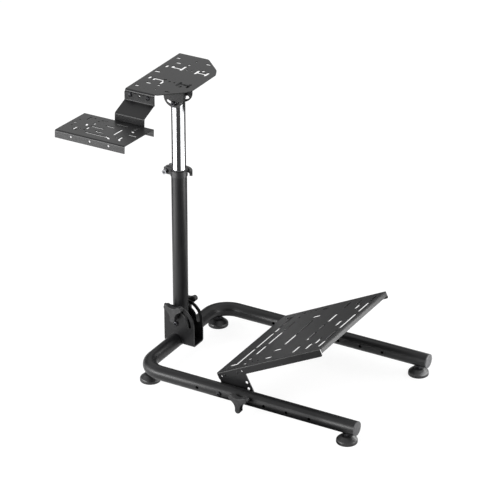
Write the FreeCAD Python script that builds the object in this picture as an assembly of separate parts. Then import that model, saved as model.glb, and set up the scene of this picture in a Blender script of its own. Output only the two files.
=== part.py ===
# Racing wheel stand: a floor base of bent tube, a folding column with a sliding mast,
# a tilting wheel deck with a side shelf for a shifter, and a sloping pedal deck.
# Millimetres, +Z up, +X to the driver's right, +Y forward. The floor is z = 0.
import FreeCAD, Part
import math
import os

V = FreeCAD.Vector
X_AXIS, Y_AXIS, Z_AXIS = V(1, 0, 0), V(0, 1, 0), V(0, 0, 1)

# Base tube and its holes
BASE_TUBE_DIA = 42.0
BASE_TUBE_WALL = 2.0
BASE_AXIS_HEIGHT = 50.0
LEG_X = 219.0
LEG_END_Y = 690.0
BEND_RADIUS = 65.0
LEG_HOLE_FIRST_Y = 196.0
LEG_HOLE_PITCH = 71.4
LEG_HOLE_COUNT = 6
LEG_BOLT_DIA = 8.0
LEG_BOLT_HEAD_DIA = 14.0
LEG_BOLT_HEAD_HEIGHT = 5.0
LEG_NUT_ACROSS = 13.0
LEG_NUT_HEIGHT = 6.0
LEG_SPACER_DIA = 16.0
END_CAP_FLANGE = 3.0
END_CAP_PLUG = 18.0
END_CAP_ROUNDING = 1.2

# Feet
FOOT_DIA = 60.0
FOOT_RIM = 10.0
FOOT_TOP_DIA = 32.0
FOOT_HEIGHT = 22.0
FOOT_EDGE_ROUNDING = 1.5
FOOT_DOME_ROUNDING = 8.0
FOOT_FROM_LEG_END = 29.0
FOOT_BEND_ANGLE = 36.0
FOOT_STUD_DIA = 10.0
FOOT_STUD_SOCKET = 10.0
FOOT_STUD_IN_TUBE = 8.0
FOOT_NUT_ACROSS = 17.0

# Column bracket
BRACKET_INNER_WIDTH = 46.0
BRACKET_PLATE = 4.0
BRACKET_BEND = 3.0
BRACKET_CORNER = 3.0
PIVOT_ABOVE_TUBE = 53.0
BRACKET_REAR = 40.0
BRACKET_TOP_ABOVE_PIVOT = 56.0
BRACKET_FRONT_RADIUS = 59.0
BRACKET_BELOW_TUBE_AXIS = 12.0
PIVOT_BOLT_DIA = 10.0
PIVOT_HEAD_DIA = 15.0
PIVOT_HEAD_HEIGHT = 6.0
LOCK_RADIUS = 44.0
LOCK_BOLT_DIA = 10.0
LOCK_SLOT_WIDTH = 11.0
LOCK_SLOT_ANGLE = 92.0

# Column, mast and their collar
COLUMN_DIA = 45.0
COLUMN_WALL = 1.8
COLUMN_TAIL = 14.5
COLUMN_ABOVE_PIVOT = 481.0
MAST_DIA = 40.0
MAST_WALL = 1.5
MAST_IN_COLUMN = 254.0
BUSHING_LENGTH = 40.0
BUSHING_LIP = 2.0
COLLAR_DIA = 49.0
COLLAR_HEIGHT = 18.0
COLLAR_BELOW_TOP = 1.0
COLLAR_SLIT = 4.0
LUG_BEYOND_BOLT = 9.0
LUG_WIDTH = 9.0
LUG_ROUNDING = 4.0
CLAMP_BOLT_DIA = 8.0
CLAMP_BOLT_FROM_RING = 12.0
CLAMP_HEAD_DIA = 14.0
CLAMP_HEAD_LENGTH = 11.0
CLAMP_SOCKET_ACROSS = 6.0
CLAMP_SOCKET_DEPTH = 5.0
LEVER_GAP = 5.5
LEVER_HEIGHT = 14.5
LEVER_THICKNESS = 8.0
LEVER_BARREL_DIA = 15.0
LEVER_MOUTH = 9.0
LEVER_SWEEP = 134.0

# Wheel deck, above the column's top
DECK_ABOVE_COLUMN = 283.0
DECK_PLATE = 2.5
DECK_BEND = 3.0
DECK_HALF_WIDTH = 145.5
DECK_REAR_Y = -82.0
DECK_FRONT_Y = 86.0
DECK_CORNER = 3.0
DECK_SIDE_FROM_FRONT = 72.0
DECK_SIDE_ROUNDING = 14.0
DECK_NOSE_BACK = 13.0
DECK_NOSE_FROM_SIDE = 57.0
DECK_NOSE_ROUNDING = 30.0
DECK_TIP_FROM_SIDE = 84.0
DECK_TIP_ROUNDING = 20.0
DECK_FLANGE_HEIGHT = 34.0
DECK_FLANGE_FROM_FRONT = 74.0
DECK_RELIEF = 4.0
WHEEL_HOLE_DIA = 7.0
WHEEL_HOLE_X = 46.5
WHEEL_HOLE_YS = (0.0, 15.0)
WHEEL_SLOT_WIDTH = 8.5
# Slots of one half of the wheel plate, x and y of both ends, from the pattern's middle line
WHEEL_SLOTS = [
    (40, -16.5, 67, -16.5), (46.5, -16.5, 46.5, -47.5), (46.5, -47.5, 54, -47.5),
    (38, 31, 60, 31), (46.5, 31, 46.5, 62.5), (39, 62.5, 58, 62.5),
    (80.5, -52, 80.5, -43), (61, 43.5, 65, 43.5), (111, 27, 111, 35),
    (111, -69, 111, -63), (41, -64, 50, -64),
]
WHEEL_MIDDLE_SLOT = (0, -74, 0, -62)
WHEEL_ROUND_HOLES = [(82, -13.5, 9.0), (111, -7, 7.0)]

TILT_PIVOT_BELOW_DECK = 38.0
TILT_BOLT_DIA = 8.0
TILT_HEAD_DIA = 14.0
TILT_HEAD_HEIGHT = 4.5
TILT_SOCKET_ACROSS = 5.0
TILT_SLOT_RADIUS = 35.0
TILT_SLOT_WIDTH = 9.0
TILT_ANGLE = 30.0
EAR_HALF_WIDTH = 31.5
EAR_BELOW_SLOT = 12.0
EAR_PLATE = 3.0
EAR_BEND = 3.0
MAST_ABOVE_PIVOT = 12.0

# Arm and side shelf for the shifter
ARM_SHEET = 3.0
ARM_BEND = 3.0
ARM_REACH = 52.0
ARM_DROP = 20.0
ARM_TAIL_DROP = 18.0
ARM_TOP_GAP = 1.5
ARM_HOLE_DIA = 6.5
ARM_HOLE_PITCH = 28.0
ARM_HOLE_BELOW_DECK = 13.0
SHELF_SHEET = 2.5
SHELF_BEND = 2.0
SHELF_WIDTH = 152.0
SHELF_REAR_Y = -178.0
SHELF_FRONT_Y = 44.0
SHELF_FLANGE = 22.5
SHELF_RISE_ANGLE = 3.0
SHELF_FLANGE_HOLE_PITCH = 60.0
SHELF_FLANGE_HOLE_DIA = 6.5
SHELF_SLOT_WIDTH = 6.5
# Slots of the shelf: distance from its inner edge and from its middle line, for both ends
SHELF_SLOTS = [
    (54, 42, 94, 42), (52, -44, 58, -44), (86, -44, 97, -43),
    (121, -32, 121, 34), (120, 38, 128, 47), (75, -41, 75, -4), (101, -10, 101, 10),
    (51, -8, 51, 14), (26, 6, 26, 40), (26, -37, 26, -22), (74, 77, 74, 100), (74, -100, 74, -92),
    (99, 71, 118, 72), (118, 72, 123, 79), (100, -73, 118, -73), (23, 76, 38, 72), (46, 70, 53, 78),
    (22, -77, 40, -77), (66, -62, 77, -57),
]
SHELF_ROUND_HOLES = [
    (107, 58, 7.0), (107, -60, 7.0), (22, -63, 5.5), (37, -43, 5.5), (50, -95, 5.5), (96, -93, 5.5),
    (120, -64, 5.5), (107, -45, 5.5), (96, -13, 5.5), (117, 32, 5.5),
]

# Pedal deck
PEDAL_SHEET = 1.6
PEDAL_BEND = 2.0
PEDAL_FROM_LEG = 0.5
PEDAL_LENGTH = 366.6
PEDAL_TILT = 26.83
PEDAL_LOW_Y = 235.0
PEDAL_LOW_ABOVE_TUBE = 37.3
PEDAL_SIDE_FLANGE = 22.5
PEDAL_HEAD_FLANGE = 13.8
PEDAL_FLANGE_SETBACK = 2.2
PEDAL_FLANGE_ROUNDING = 5.0
PEDAL_SLOT_WIDTH = 9.0
PEDAL_UP_SLOT_WIDTH = 11.0
# Rows of slots across one half of the pedal plate: distance up the slope, then x of both ends
PEDAL_LOW_ROWS = [
    (50, 0, 46), (50, 62, 161), (88, 0, 36), (88, 58, 107), (172, 10, 77),
]
# Rows measured down from the head edge
PEDAL_HEAD_ROWS = [
    (111, 40, 85), (111, 0, 12), (111, 133, 167), (69, 133, 162), (53, 0, 13), (53, 103, 132),
    (21, 0, 44), (21, 67, 124), (21, 135, 167),
]
# Short slots up the slope: x, then distance up the slope of both ends
PEDAL_UP_SLOTS = [(114, 160, 176), (166, 161, 173), (160, 32, 50)]
PEDAL_ROUND_HOLES = [(141, 86, 10.5), (172, 87, 10.0), (171, 112, 6.0), (171, 132, 6.0)]

# Side brackets of the pedal deck
PEDAL_BRACKET_PLATE = 3.0
PEDAL_BRACKET_END_RADIUS = 16.0
PEDAL_BRACKET_CORNER = 4.0
PEDAL_BRACKET_HEAD = 91.7
PEDAL_BRACKET_SHOULDER = 8.0
PEDAL_BRACKET_SHOULDER_ROUNDING = 25.0
PEDAL_INDEX_ANGLES = (11.5, PEDAL_TILT)
PEDAL_SIDE_BOLT_DIA = 6.5
# Distance up the slope and depth under the plate of the holes through flange and bracket
PEDAL_SIDE_BOLTS = ((11.5, 13.6), (84.0, 12.4))

# Hand knobs
KNOB_LOBE_RADIUS = 8.5
KNOB_LOBE_PITCH = 24.0
KNOB_WAIST_RADIUS = 13.5
KNOB_HUB_DIA = 22.0
KNOB_HEIGHT = 22.0
KNOB_HUB_HEIGHT = 6.0
KNOB_ROUNDING = 2.0
KNOB_END_WALL = 6.0

# Round bolt heads: share of the height that is rounded, and share that the socket is deep
HEAD_ROUNDING_SHARE = 0.6
HEAD_SOCKET_SHARE = 0.6

# Clearances
RUNNING_FIT = 0.05
LEG_HOLE_GAP = 0.5
SLIDING_GAP = 0.3
LOOSE_HOLE = 0.25
SEAT_GAP = 0.1
CUT_PAST = 1.0

BASE_TUBE_RADIUS = BASE_TUBE_DIA / 2
LEG_HOLE_DIA = LEG_BOLT_DIA + 2 * LEG_HOLE_GAP
BRACKET_HALF = BRACKET_INNER_WIDTH / 2 + BRACKET_PLATE
PIVOT_HEIGHT = BASE_AXIS_HEIGHT + PIVOT_ABOVE_TUBE
LOCK_HEIGHT = PIVOT_HEIGHT + LOCK_RADIUS
LEG_HOLES_Y = [LEG_HOLE_FIRST_Y + LEG_HOLE_PITCH * i for i in range(LEG_HOLE_COUNT)]
PEDAL_PIVOT_Y = LEG_HOLES_Y[1]
PEDAL_KNOB_Y = LEG_HOLES_Y[2]
PEDAL_KNOB_FACE_X = LEG_X + BASE_TUBE_RADIUS + SLIDING_GAP
PEDAL_HALF_WIDTH = LEG_X - BASE_TUBE_RADIUS - PEDAL_FROM_LEG
PEDAL_BRACKET_X = PEDAL_HALF_WIDTH - PEDAL_SHEET - SEAT_GAP - PEDAL_BRACKET_PLATE
PEDAL_LOW_HEIGHT = BASE_AXIS_HEIGHT + PEDAL_LOW_ABOVE_TUBE

COLUMN_TOP = PIVOT_HEIGHT + COLUMN_ABOVE_PIVOT
COLLAR_LOW = COLUMN_TOP - COLLAR_BELOW_TOP - COLLAR_HEIGHT
COLLAR_MIDDLE = COLLAR_LOW + COLLAR_HEIGHT / 2
CLAMP_BOLT_Y = -(COLLAR_DIA / 2 + CLAMP_BOLT_FROM_RING)
LUG_HALF = COLLAR_SLIT / 2 + LUG_WIDTH

DECK_TOP = COLUMN_TOP + DECK_ABOVE_COLUMN
DECK_UNDERSIDE = DECK_TOP - DECK_PLATE
DECK_FLANGE_FRONT_Y = DECK_FRONT_Y - DECK_FLANGE_FROM_FRONT
WHEEL_PATTERN_X = -(DECK_PLATE + DECK_BEND) / 2
TILT_PIVOT_HEIGHT = DECK_TOP - TILT_PIVOT_BELOW_DECK
EAR_BOTTOM = TILT_PIVOT_HEIGHT - TILT_SLOT_RADIUS - EAR_BELOW_SLOT
EAR_HALF = BRACKET_INNER_WIDTH / 2 + EAR_PLATE

ARM_MIDDLE_Y = (DECK_REAR_Y + DECK_FLANGE_FRONT_Y) / 2
ARM_HOLES_Y = [ARM_MIDDLE_Y + ARM_HOLE_PITCH * i for i in (-1, 0, 1)]
ARM_HOLE_HEIGHT = DECK_TOP - ARM_HOLE_BELOW_DECK
SHELF_INNER_X = DECK_HALF_WIDTH + ARM_SHEET + ARM_REACH
SHELF_TOP = DECK_TOP - DECK_FLANGE_HEIGHT - ARM_DROP - ARM_TAIL_DROP
SHELF_RISE = math.radians(SHELF_RISE_ANGLE)
SHELF_OUTER_X = SHELF_INNER_X + SHELF_WIDTH * math.cos(SHELF_RISE) + SHELF_FLANGE * math.sin(SHELF_RISE)

# The origin lies on the floor under the middle of the whole stand
ORIGIN_X = (SHELF_OUTER_X - PEDAL_KNOB_FACE_X - KNOB_HEIGHT) / 2
ORIGIN_Y = (LEG_END_Y + END_CAP_FLANGE + SHELF_REAR_Y) / 2


def box(x_low, x_high, y_low, y_high, z_low, z_high):
    """A block between two corners."""
    return Part.makeBox(x_high - x_low, y_high - y_low, z_high - z_low, V(x_low, y_low, z_low))


def rod(start, direction, diameter, length):
    """A round bar from a point along a direction."""
    return Part.makeCylinder(diameter / 2, length, start, direction)


def hexagon(start, direction, across_flats, length):
    """A six-sided bar from a point along X or Z."""
    flat_way = Y_AXIS
    other_way = direction.cross(flat_way)
    reach = across_flats / math.sqrt(3)
    corners = []
    for i in range(6):
        turn = math.radians(60 * i)
        corners.append(start + flat_way * (reach * math.cos(turn)) + other_way * (reach * math.sin(turn)))
    return Part.Face(Part.makePolygon(corners + [corners[0]])).extrude(direction * length)


def rounded_face(corners):
    """A flat face from its corners in order, each given as a point and the radius that rounds it."""
    arcs = []
    for i, (point, radius) in enumerate(corners):
        before = (corners[i - 1][0] - point).normalize()
        after = (corners[(i + 1) % len(corners)][0] - point).normalize()
        if radius == 0:
            arcs.append((point, None, point))
            continue
        half_angle = before.getAngle(after) / 2
        reach = radius / math.tan(half_angle)
        middle = point + (before + after).normalize() * (radius / math.sin(half_angle) - radius)
        arcs.append((point + before * reach, middle, point + after * reach))
    edges = []
    for i, (start, middle, end) in enumerate(arcs):
        edges.append(Part.makeLine(arcs[i - 1][2], start))
        if middle is not None:
            edges.append(Part.Arc(start, middle, end).toShape())
    return Part.Face(Part.Wire(edges))


def folded_sheet(path, thickness, inside_radius, start, sweep):
    """A sheet folded along a line of points, drawn on its outer side, and swept along X or Y.

    The sheet lies on the side of the line given by its direction crossed with the sweep.
    """
    way = V(sweep).normalize()
    outer, inner = [], []
    for i, point in enumerate(path):
        before = (path[max(i, 1)] - path[max(i, 1) - 1]).normalize()
        last = len(path) - 1
        after = (path[min(i, last - 1) + 1] - path[min(i, last - 1)]).normalize()
        side_before, side_after = before.cross(way), after.cross(way)
        mitre = (side_before + side_after) * (thickness / (1 + side_before.dot(side_after)))
        bends_inward = after.dot(side_before)
        radii = (0, 0)
        if bends_inward > 0.01:
            radii = (inside_radius + thickness, inside_radius)
        elif bends_inward < -0.01:
            radii = (inside_radius, inside_radius + thickness)
        outer.append((point, radii[0]))
        inner.append((point + mitre, radii[1]))
    sheet = rounded_face(outer + inner[::-1]).extrude(sweep)
    sheet.translate(start)
    return sheet


def turned(shape, centre, axis, angle):
    """A copy of a shape turned about an axis."""
    copy = shape.copy()
    copy.rotate(centre, axis, angle)
    return copy


def mirrored(shape, side):
    """The shape itself for the right side, or its mirror image for the left."""
    return shape if side > 0 else shape.mirror(V(0, 0, 0), X_AXIS)


def slot_cutter(start, end, width, depth_vector):
    """A round-ended slot between two points, cut along a vector."""
    run = end - start
    radius = width / 2
    cutter = Part.makeCylinder(radius, depth_vector.Length, start, depth_vector)
    side = run.cross(depth_vector).normalize() * radius
    corners = [start + side, end + side, end - side, start - side]
    bar = Part.Face(Part.makePolygon(corners + [corners[0]])).extrude(depth_vector)
    return cutter.fuse([bar, Part.makeCylinder(radius, depth_vector.Length, end, depth_vector)])


def cut_level(plate, runs, holes, slot_width, top, thickness):
    """Cut slots, given by both ends, and round holes, given with their size, through a level plate."""
    low = top - thickness - CUT_PAST
    depth = Z_AXIS * (thickness + 2 * CUT_PAST)
    cutters = [slot_cutter(V(x_1, y_1, low), V(x_2, y_2, low), slot_width, depth)
               for x_1, y_1, x_2, y_2 in runs]
    cutters += [rod(V(x, y, low), Z_AXIS, dia, depth.Length) for x, y, dia in holes]
    return plate.cut(cutters)


def arc_slot_cutter(height, radius, width, first, last, half_length):
    """A curved slot about a bolt along X at a height, with angles from straight up, forward positive."""
    low = V(-half_length, 0, 0)
    length = 2 * half_length
    ring = rod(low, X_AXIS, 2 * radius + width, length).cut(rod(low, X_AXIS, 2 * radius - width, length))
    steps = 4
    fan = [low]
    for i in range(steps + 1):
        turn = math.radians(first + (last - first) * i / steps)
        fan.append(low + V(0, math.sin(turn), math.cos(turn)) * (2 * radius))
    slot = ring.common(Part.Face(Part.makePolygon(fan + [low])).extrude(X_AXIS * length))
    for angle in (first, last):
        turn = math.radians(angle)
        slot = slot.fuse(rod(low + V(0, math.sin(turn), math.cos(turn)) * radius, X_AXIS, width, length))
    slot.translate(Z_AXIS * height)
    return slot


def cross_bore(y, z, diameter, half_length):
    """A round hole along X through both sides."""
    reach = half_length + CUT_PAST
    return rod(V(-reach, y, z), X_AXIS, diameter, 2 * reach)


def button_head(start, diameter, height, socket_across):
    """A round head along +X with a rounded rim and a six-sided socket."""
    radius = diameter / 2
    rounding = height * HEAD_ROUNDING_SHARE
    profile = rounded_face([(V(0, 0, 0), 0), (V(0, 0, radius), 0), (V(height, 0, radius), rounding),
                            (V(height, 0, 0), 0)])
    head = profile.revolve(V(0, 0, 0), X_AXIS, 360)
    depth = height * HEAD_SOCKET_SHARE
    head = head.cut(hexagon(V(height - depth, 0, 0), X_AXIS, socket_across, height))
    head.translate(start)
    return head


# Base: one bent tube, capped at its ends, on four screwed feet
def on_bend(angle):
    """A point of the tube's centre line on the right-hand bend, seen from above."""
    turn = math.radians(angle)
    centre = V(LEG_X - BEND_RADIUS, BEND_RADIUS, 0)
    return centre + V(math.sin(turn), -math.cos(turn), 0) * BEND_RADIUS


def base_path():
    """The centre line of the tube, from one leg end round the back to the other."""
    middle, straight = on_bend(45), LEG_X - BEND_RADIUS
    rise = V(0, 0, BASE_AXIS_HEIGHT)
    right = [V(LEG_X, LEG_END_Y, 0), V(LEG_X, BEND_RADIUS, 0), middle, V(straight, 0, 0)]
    points = [p + rise for p in right + [V(-p.x, p.y, 0) for p in reversed(right)]]
    return Part.Wire([
        Part.makeLine(points[0], points[1]), Part.Arc(points[1], points[2], points[3]).toShape(),
        Part.makeLine(points[3], points[4]), Part.Arc(points[4], points[5], points[6]).toShape(),
        Part.makeLine(points[6], points[7]),
    ])


def tube_along(path, radius):
    """A solid round bar swept along the base path from the right leg's end."""
    ring = Part.Wire(Part.makeCircle(radius, V(LEG_X, LEG_END_Y, BASE_AXIS_HEIGHT), Y_AXIS))
    return path.makePipeShell([ring], True, True)


def foot_places():
    """The four foot centres by name."""
    front = V(LEG_X, LEG_END_Y - FOOT_FROM_LEG_END, 0)
    rear = on_bend(FOOT_BEND_ANGLE)
    return {"front_right": front, "front_left": V(-front.x, front.y, 0),
            "rear_right": rear, "rear_left": V(-rear.x, rear.y, 0)}


def base_tube():
    path = base_path()
    tube = tube_along(path, BASE_TUBE_RADIUS).cut(tube_along(path, BASE_TUBE_RADIUS - BASE_TUBE_WALL))
    reach = LEG_X + BASE_TUBE_RADIUS
    tube = tube.cut([cross_bore(y, BASE_AXIS_HEIGHT, LEG_HOLE_DIA, reach) for y in LEG_HOLES_Y])
    stud_hole = FOOT_STUD_DIA + 2 * RUNNING_FIT
    return tube.cut([rod(place, Z_AXIS, stud_hole, BASE_AXIS_HEIGHT) for place in foot_places().values()])


def end_cap(side):
    """A pressed-in plastic cap with a flat face."""
    radius = BASE_TUBE_RADIUS
    profile = rounded_face([(V(0, 0, 0), 0), (V(radius, 0, 0), 0),
                            (V(radius, END_CAP_FLANGE, 0), END_CAP_ROUNDING), (V(0, END_CAP_FLANGE, 0), 0)])
    face = profile.revolve(V(0, 0, 0), Y_AXIS, 360)
    plug_dia = BASE_TUBE_DIA - 2 * BASE_TUBE_WALL - 2 * RUNNING_FIT
    cap = face.fuse(rod(V(0, -END_CAP_PLUG, 0), Y_AXIS, plug_dia, END_CAP_PLUG)).removeSplitter()
    cap.translate(V(side * LEG_X, LEG_END_Y, BASE_AXIS_HEIGHT))
    return cap


def foot(place):
    """A domed plastic foot with a socket for its stud."""
    rim, top = FOOT_DIA / 2, FOOT_TOP_DIA / 2
    profile = rounded_face([(V(0, 0, 0), 0), (V(rim, 0, 0), FOOT_EDGE_ROUNDING),
                            (V(rim, 0, FOOT_RIM), FOOT_DOME_ROUNDING),
                            (V(top, 0, FOOT_HEIGHT), FOOT_DOME_ROUNDING), (V(0, 0, FOOT_HEIGHT), 0)])
    dome = profile.revolve(V(0, 0, 0), Z_AXIS, 360)
    socket_low = V(0, 0, FOOT_HEIGHT - FOOT_STUD_SOCKET)
    dome = dome.cut(rod(socket_low, Z_AXIS, FOOT_STUD_DIA + 2 * RUNNING_FIT, FOOT_STUD_SOCKET + CUT_PAST))
    dome.translate(place)
    return dome


def foot_stud(place):
    """The threaded stud and its lock nut between a foot and the tube."""
    tube_bottom = BASE_AXIS_HEIGHT - BASE_TUBE_RADIUS
    low = FOOT_HEIGHT - FOOT_STUD_SOCKET
    stud = rod(place + Z_AXIS * low, Z_AXIS, FOOT_STUD_DIA, tube_bottom + FOOT_STUD_IN_TUBE - low)
    nut = hexagon(place + Z_AXIS * FOOT_HEIGHT, Z_AXIS, FOOT_NUT_ACROSS, tube_bottom - FOOT_HEIGHT)
    return stud.fuse(nut).removeSplitter()


# Column bracket: a channel saddled on the cross tube, with curved lock slots
def column_bracket():
    rear, front, half = -BRACKET_REAR, BRACKET_FRONT_RADIUS, BRACKET_HALF
    top, bottom = PIVOT_HEIGHT + BRACKET_TOP_ABOVE_PIVOT, BASE_AXIS_HEIGHT - BRACKET_BELOW_TUBE_AXIS
    path = [V(-half, 0, top), V(-half, 0, bottom), V(half, 0, bottom), V(half, 0, top)]
    channel = folded_sheet(path, BRACKET_PLATE, BRACKET_BEND, V(0, rear, 0), Y_AXIS * (front - rear))
    lobe = rod(V(-half, 0, PIVOT_HEIGHT), X_AXIS, 2 * front, 2 * half)
    behind_lobe = rounded_face([(V(-half, rear, bottom), 0), (V(-half, 0, bottom), 0), (V(-half, 0, top), 0),
                                (V(-half, rear, top), BRACKET_CORNER)]).extrude(X_AXIS * (2 * half))
    below_lobe = box(-half, half, 0, front, bottom, PIVOT_HEIGHT)
    channel = channel.common(lobe.fuse([behind_lobe, below_lobe]))
    return channel.cut([
        cross_bore(0, BASE_AXIS_HEIGHT, BASE_TUBE_DIA, half),
        cross_bore(0, PIVOT_HEIGHT, PIVOT_BOLT_DIA + 2 * RUNNING_FIT, half),
        arc_slot_cutter(PIVOT_HEIGHT, LOCK_RADIUS, LOCK_SLOT_WIDTH, 0, LOCK_SLOT_ANGLE, half + CUT_PAST),
    ])


def through_bolt(y, z, diameter, half_length, head_dia, head_height, socket_across):
    """A bolt along X with a socket head on the right and a nut on the left."""
    shank = rod(V(-half_length, y, z), X_AXIS, diameter, 2 * half_length)
    head = button_head(V(half_length, y, z), head_dia, head_height, socket_across)
    nut = hexagon(V(-half_length - head_height, y, z), X_AXIS, head_dia, head_height)
    return shank.fuse([head, nut]).removeSplitter()


def column_pivot_bolt():
    return through_bolt(0, PIVOT_HEIGHT, PIVOT_BOLT_DIA, BRACKET_HALF, PIVOT_HEAD_DIA, PIVOT_HEAD_HEIGHT,
                        CLAMP_SOCKET_ACROSS)


# Hand knob: three round lobes with hollows between them, on a plain hub
def knob_face():
    """The knob's outline at x = 0, made of lobes and the hollows that meet them."""
    pitch, lobe, waist = KNOB_LOBE_PITCH, KNOB_LOBE_RADIUS, KNOB_WAIST_RADIUS
    rise = waist - lobe
    hollow_pitch = (pitch ** 2 - rise ** 2) / (pitch - 2 * rise)

    def place(angle, distance):
        return V(0, math.sin(math.radians(angle)), math.cos(math.radians(angle))) * distance

    edges = []
    for i in range(3):
        angle = 60 + 120 * i
        centre = place(angle, pitch)
        meets = []
        for hollow in (place(angle - 60, hollow_pitch), place(angle + 60, hollow_pitch)):
            meets.append(centre + (hollow - centre).normalize() * lobe)
        edges.append(Part.Arc(meets[0], place(angle, pitch + lobe), meets[1]).toShape())
        next_meet = FreeCAD.Rotation(X_AXIS, -120).multVec(meets[0])
        edges.append(Part.Arc(meets[1], place(angle + 60, waist), next_meet).toShape())
    return Part.Face(Part.Wire(edges))


def knob(face_x, y, z, side, screw_dia):
    """A knob whose hub starts at face_x and which stands out to the given side, bored for its screw."""
    hub = rod(V(0, 0, 0), X_AXIS, KNOB_HUB_DIA, KNOB_HUB_HEIGHT + CUT_PAST)
    lobes = knob_face().extrude(X_AXIS * (KNOB_HEIGHT - KNOB_HUB_HEIGHT))
    far = KNOB_HEIGHT - KNOB_HUB_HEIGHT
    rim = [edge for edge in lobes.Edges if edge.BoundBox.XMin > far / 2]
    lobes = lobes.makeFillet(KNOB_ROUNDING, rim)
    lobes.translate(X_AXIS * KNOB_HUB_HEIGHT)
    body = lobes.fuse(hub).removeSplitter()
    body = body.cut(rod(V(-CUT_PAST, 0, 0), X_AXIS, screw_dia + 2 * RUNNING_FIT,
                        KNOB_HEIGHT - KNOB_END_WALL + CUT_PAST))
    body = mirrored(body, side)
    body.translate(V(face_x, y, z))
    return body


def lock_knob(side):
    return knob(side * (BRACKET_HALF + SLIDING_GAP), 0, LOCK_HEIGHT, side, LOCK_BOLT_DIA)


def lock_bolt():
    half = BRACKET_HALF + KNOB_HEIGHT - KNOB_END_WALL - CUT_PAST
    return rod(V(-half, 0, LOCK_HEIGHT), X_AXIS, LOCK_BOLT_DIA, 2 * half)


# Column: the fixed outer tube, its bushing and the clamp collar
def outer_tube():
    low = PIVOT_HEIGHT - COLUMN_TAIL
    height = COLUMN_TOP - low
    tube = rod(V(0, 0, low), Z_AXIS, COLUMN_DIA, height)
    inside = rod(V(0, 0, low - CUT_PAST), Z_AXIS, COLUMN_DIA - 2 * COLUMN_WALL, height + 2 * CUT_PAST)
    return tube.cut([
        inside,
        cross_bore(0, PIVOT_HEIGHT, PIVOT_BOLT_DIA + 2 * RUNNING_FIT, COLUMN_DIA),
        cross_bore(0, LOCK_HEIGHT, LOCK_BOLT_DIA + 2 * RUNNING_FIT, COLUMN_DIA),
    ])


def bushing():
    """A plastic sleeve with a lip that guides the mast in the column's top."""
    sleeve_dia = COLUMN_DIA - 2 * COLUMN_WALL - 2 * RUNNING_FIT
    low = COLUMN_TOP - BUSHING_LENGTH
    sleeve = rod(V(0, 0, low), Z_AXIS, sleeve_dia, BUSHING_LENGTH)
    lip = rod(V(0, 0, COLUMN_TOP), Z_AXIS, COLUMN_DIA, BUSHING_LIP)
    bore = rod(V(0, 0, low - CUT_PAST), Z_AXIS, MAST_DIA + 2 * RUNNING_FIT,
               BUSHING_LENGTH + BUSHING_LIP + 2 * CUT_PAST)
    return sleeve.fuse(lip).cut(bore).removeSplitter()


def clamp_collar():
    """A split ring with two lugs behind the column, pulled together by the clamp bolt."""
    low, high = COLLAR_LOW - CUT_PAST, COLLAR_HEIGHT + 2 * CUT_PAST
    half, rear = LUG_HALF, CLAMP_BOLT_Y - LUG_BEYOND_BOLT
    ring = rod(V(0, 0, COLLAR_LOW), Z_AXIS, COLLAR_DIA, COLLAR_HEIGHT)
    lugs = rounded_face([
        (V(-half, rear, COLLAR_LOW), LUG_ROUNDING), (V(half, rear, COLLAR_LOW), LUG_ROUNDING),
        (V(half, 0, COLLAR_LOW), 0), (V(-half, 0, COLLAR_LOW), 0)])
    collar = ring.fuse(lugs.extrude(Z_AXIS * COLLAR_HEIGHT)).removeSplitter()
    slit = COLLAR_SLIT / 2
    return collar.cut([
        rod(V(0, 0, low), Z_AXIS, COLUMN_DIA + 2 * RUNNING_FIT, high),
        box(-slit, slit, rear - CUT_PAST, 0, low, low + high),
        cross_bore(CLAMP_BOLT_Y, COLLAR_MIDDLE, CLAMP_BOLT_DIA + 2 * LOOSE_HOLE, half),
    ])


def lever_pivot():
    """The middle of the pin that the lever turns on."""
    return V(-LUG_HALF - LEVER_BARREL_DIA / 2 - SLIDING_GAP, CLAMP_BOLT_Y, COLLAR_MIDDLE)


def clamp_bolt():
    """The bolt through the lugs, with a round socket head and an upright pin for the lever."""
    start = lever_pivot()
    shank = rod(start, X_AXIS, CLAMP_BOLT_DIA, LUG_HALF - start.x)
    head = rod(V(LUG_HALF, CLAMP_BOLT_Y, COLLAR_MIDDLE), X_AXIS, CLAMP_HEAD_DIA, CLAMP_HEAD_LENGTH)
    socket_start = V(LUG_HALF + CLAMP_HEAD_LENGTH - CLAMP_SOCKET_DEPTH, CLAMP_BOLT_Y, COLLAR_MIDDLE)
    socket = hexagon(socket_start, X_AXIS, CLAMP_SOCKET_ACROSS, CLAMP_SOCKET_DEPTH)
    pin = rod(V(start.x, start.y, COLLAR_LOW), Z_AXIS, CLAMP_BOLT_DIA, COLLAR_HEIGHT)
    return shank.fuse([head, pin]).cut(socket).removeSplitter()


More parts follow.
